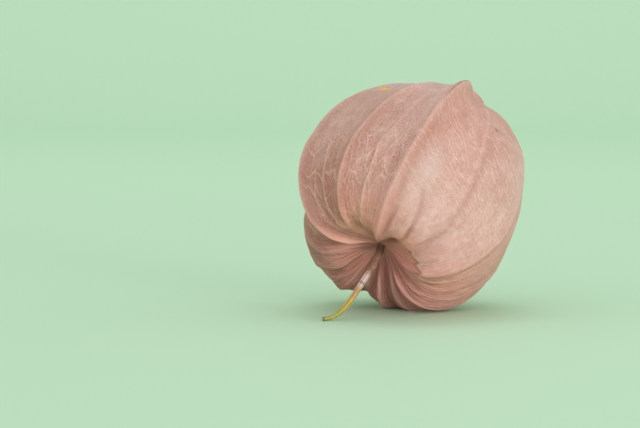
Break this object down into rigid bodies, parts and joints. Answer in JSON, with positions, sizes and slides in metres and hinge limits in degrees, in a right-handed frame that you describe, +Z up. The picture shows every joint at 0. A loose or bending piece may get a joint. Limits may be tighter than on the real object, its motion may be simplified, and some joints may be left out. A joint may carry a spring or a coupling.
{
  "type": "chinese lantern husk with stalk",
  "caption": "Dried, hollow papery lantern husk with raised ribs and veins, lying on its side on a surface, with the short curved stalk it was picked on.",
  "frame": {"origin": "on the surface that the husk lies on, under the middle of the whole object's bounding box", "axes": "+Z up from that surface; the stalk comes forward and to the left (-Y, -X), the husk's tip points to the back right and up (+Y, +X, +Z)"},
  "size_m": [0.0468, 0.048, 0.0485],
  "materials": {
    "husk_paper": "matt, dry, veined plant skin, dusty salmon pink",
    "dry_stalk": "satin, dry plant stalk, pinkish by the husk and golden green at the cut end"
  },
  "bodies": {
    "root": {"husk": "husk_paper", "stalk": "dry_stalk"}
  },
  "joints": []
}
